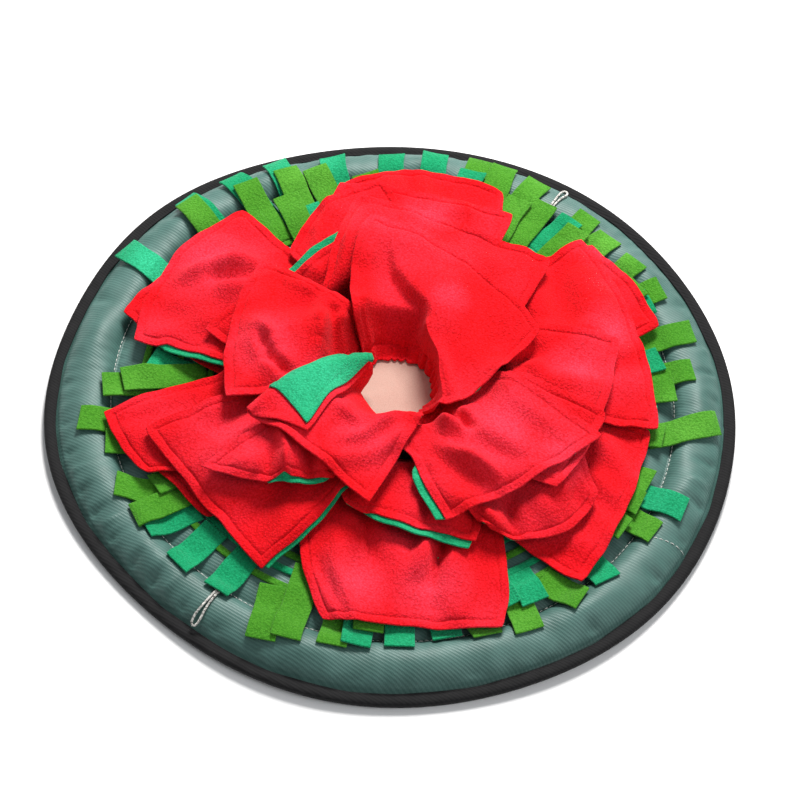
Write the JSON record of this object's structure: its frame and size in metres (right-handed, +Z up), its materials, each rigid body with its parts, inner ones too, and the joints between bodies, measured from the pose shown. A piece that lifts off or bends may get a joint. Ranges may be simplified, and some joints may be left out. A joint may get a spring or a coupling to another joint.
{
  "type": "snuffle mat",
  "caption": "Round padded floor mat with a taped edge, rings of fleece strips and a big flower of two-ply fleece petals round a felt patch, for hiding treats.",
  "frame": {"origin": "middle of the mat's flat underside, on the floor", "axes": "+Z up, +Y towards the back of the picture's view, +X to its right"},
  "size_m": [0.5008, 0.4952, 0.0664],
  "materials": {
    "oxford": "woven, dull",
    "tape": "woven, dull",
    "felt": "felted, dull",
    "red": "fleece, dull",
    "jade": "fleece, dull",
    "lime": "fleece, dull",
    "cord": "twisted, dull"
  },
  "bodies": {
    "root": {"padded_mat": "oxford", "edge_tape": "tape", "middle_patch": "felt", "cord_loop_front": "cord", "cord_loop_back": "cord", "fringe_lime_outer": "lime", "fringe_jade_outer": "jade", "fringe_lime_middle": "lime", "fringe_jade_inner": "jade", "fringe_lime_inner": "lime", "upper_left_under_front": "red", "upper_left_under_back": "jade", "upper_left_front": "red", "upper_left_back": "jade", "back_under_front": "red", "back_under_back": "jade", "back_outer_front": "red", "back_outer_back": "jade", "right_under_front": "red", "right_under_back": "jade", "lower_right_front": "red", "lower_right_back": "jade", "right_outer_front": "red", "right_outer_back": "jade", "front_outer_front": "red", "front_outer_back": "jade", "left_under_front": "red", "left_under_back": "jade", "left_outer_front": "red", "left_outer_back": "jade", "back_left_front": "red", "back_left_back": "jade", "upper_left_middle_front": "red", "upper_left_middle_back": "jade", "back_middle_front": "red", "back_middle_back": "jade", "right_middle_front": "red", "right_middle_back": "jade", "front_middle_front": "red", "front_middle_back": "jade", "lower_right_middle_front": "red", "lower_right_middle_back": "jade", "lower_right_under_front": "red", "lower_right_under_back": "jade", "lower_left_front": "red", "lower_left_back": "jade", "upper_left_top_front": "red", "upper_left_top_back": "jade", "left_top_front": "red", "left_top_back": "jade", "lower_right_top_front": "red", "lower_right_top_back": "jade", "back_top_front": "red", "back_top_back": "jade", "top_front": "red", "top_back": "jade"}
  },
  "joints": []
}
